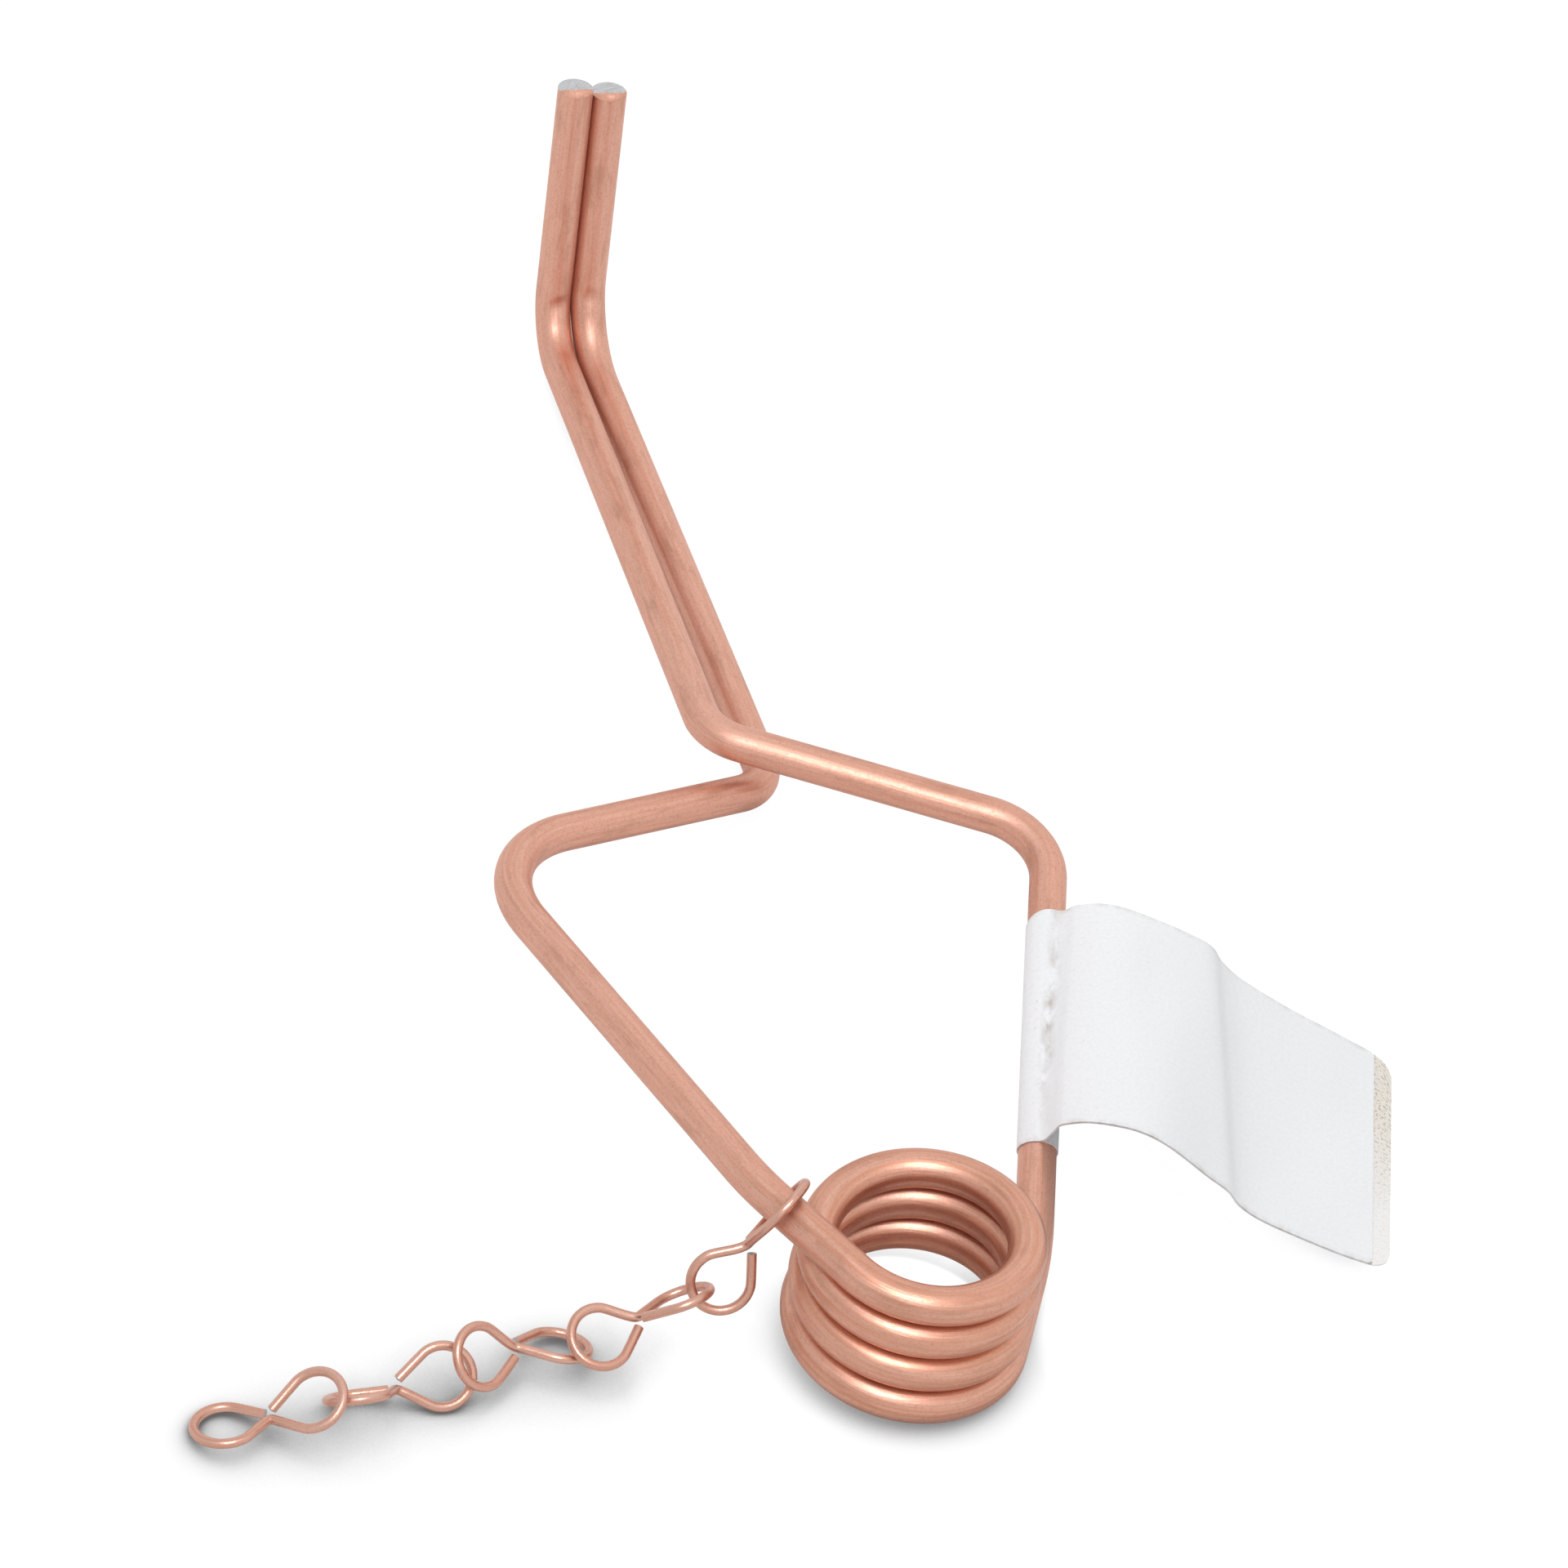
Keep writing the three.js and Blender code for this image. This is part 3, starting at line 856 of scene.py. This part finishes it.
def floor_look():
    """White to the camera, with a soft shade where something stands close over the floor,
    and pale to the lamps and in reflections."""
    material = bpy.data.materials.new("floor")
    n = Nodes(material, "Material Output")
    lit = n.add("ShaderNodeBsdfDiffuse", Color=(*FLOOR_PALE, 1))
    close = n.add("ShaderNodeAmbientOcclusion", samples=12)
    white = n.add("ShaderNodeEmission")
    x, y = n.parts(n.add("ShaderNodeNewGeometry").outputs["Position"])

    def chain_to_coil(at_chain, at_coil):
        return n.ramp(x, CHAIN_UP_TO, COIL_FROM, at_chain, at_coil)

    right = n.ramp(x, RIGHT_FROM, RIGHT_FULL)
    behind = n.ramp(y, BEHIND_FROM, BEHIND_FULL)
    away = n.math("MULTIPLY", n.math("MAXIMUM", right, behind), AWAY_OPENING)
    white_from = n.math("SUBTRACT", chain_to_coil(OPEN_AT_CHAIN, OPEN_AT_COIL), away)
    dark_from = n.math("SUBTRACT", white_from, chain_to_coil(SPAN_AT_CHAIN, SPAN_AT_COIL))
    n.link(chain_to_coil(SHADE_REACH_AT_CHAIN, SHADE_REACH), close.inputs["Distance"])
    shade = n.ramp(close.outputs["AO"], dark_from, white_from, DARKEST, WHITE)
    across = n.math("SUBTRACT", x, BORE_FLOOR.x)
    along = n.math("SUBTRACT", y, BORE_FLOOR.y)
    off_axis = n.math(
        "ADD", n.math("MULTIPLY", across, across), n.math("MULTIPLY", along, along)
    )
    in_bore = n.ramp(off_axis, BORE_CLEAR**2, BORE_SHADED**2, BORE_WHITE, 0.0)
    n.link(n.math("MAXIMUM", shade, in_bore), white.inputs["Strength"])
    path = n.add("ShaderNodeLightPath")
    share = n.math("MULTIPLY", path.outputs["Is Camera Ray"], WHITE_SHARE)
    both = n.add("ShaderNodeMixShader")
    n.link(share, both.inputs[0])
    n.link(lit.outputs[0], both.inputs[1])
    n.link(white.outputs[0], both.inputs[2])
    n.link(both.outputs[0], n.main.inputs["Surface"])
    return material


floor_mesh = bpy.data.meshes.new("floor")
floor_mesh.from_pydata(
    [(x * FLOOR_HALF, y * FLOOR_HALF, 0) for x, y in ((-1, -1), (1, -1), (1, 1), (-1, 1))],
    [], [(0, 1, 2, 3)],
)
floor = bpy.data.objects.new("floor", floor_mesh)
floor.data.materials.append(floor_look())
bpy.context.scene.collection.objects.link(floor)


# Lamps, in metres


def area_light(name, at, size, watts, colour=(1.0, 1.0, 1.0)):
    """A round lamp that faces the middle of the trap."""
    lamp = bpy.data.lights.new(name, "AREA")
    lamp.shape = "DISK"
    lamp.size = size
    lamp.energy = watts
    lamp.color = colour
    holder = bpy.data.objects.new(name, lamp)
    holder.location = at
    holder.rotation_mode = "QUATERNION"
    holder.rotation_quaternion = (-Vector(at)).to_track_quat("-Z", "Y")
    bpy.context.scene.collection.objects.link(holder)
    return holder


# The rear lamp lights the trap from behind and doesn't show in the metal. The card lights
# no matt surface, and shows in the metal as a bright band.
rear = area_light("rear", (-0.12, 0.30, 0.90), 0.40, 4.8)
rear.visible_glossy = False
card = area_light("card", (-0.12, -0.42, 0.8), 0.24, 3.3, colour=(0.88, 0.93, 1.0))
card.visible_diffuse = False

# World

WORLD_LIGHT = 0.62
# The metal sees a world that is darker on the left than on the right
LEFT_X = -0.7
RIGHT_X = 0.5
LEFT_SHEEN = 0.80
RIGHT_SHEEN = 1.0


def light_world(world):
    """White to the camera, weaker as a light, and uneven in the metal."""
    n = Nodes(world, "Background")
    n.main.inputs["Color"].default_value = (1, 1, 1, 1)
    path = n.add("ShaderNodeLightPath")
    to_camera = path.outputs["Is Camera Ray"]
    seen = n.math("MAXIMUM", to_camera, path.outputs["Is Glossy Ray"])
    x, _ = n.parts(n.add("ShaderNodeTexCoord").outputs["Generated"])
    sheen = n.ramp(x, LEFT_X, RIGHT_X, LEFT_SHEEN, RIGHT_SHEEN)
    shown = n.math("MAXIMUM", to_camera, sheen)
    n.link(n.ramp(seen, 0.0, 1.0, WORLD_LIGHT, shown), n.main.inputs["Strength"])


world = bpy.context.scene.world or bpy.data.worlds.new("world")
bpy.context.scene.world = world
light_world(world)

# Camera, fitted to the photograph, in metres

CAMERA_AT = Vector((-0.20325, -0.55464, 0.54919))
CAMERA_LOOKS = Vector((0.2652, 0.6900, -0.6735))
CAMERA_ROLL = math.radians(11.73)
CAMERA_LENS = 168.9
CAMERA_SENSOR = 36.0
NEAREST = 0.01
FARTHEST = 20.0

camera_data = bpy.data.cameras.new("camera")
camera_data.lens = CAMERA_LENS
camera_data.sensor_width = CAMERA_SENSOR
camera_data.clip_start = NEAREST
camera_data.clip_end = FARTHEST
camera = bpy.data.objects.new("camera", camera_data)
bpy.context.scene.collection.objects.link(camera)
looks = CAMERA_LOOKS.normalized()
right = looks.cross(UP).normalized()
upward = right.cross(looks)
right_rolled = right * math.cos(CAMERA_ROLL) + upward * math.sin(CAMERA_ROLL)
upward_rolled = right_rolled.cross(looks)
turn = Matrix((right_rolled, upward_rolled, -looks)).transposed()
camera.matrix_world = Matrix.Translation(CAMERA_AT) @ turn.to_4x4()
bpy.context.scene.camera = camera
bpy.context.scene.view_settings.view_transform = "Standard"
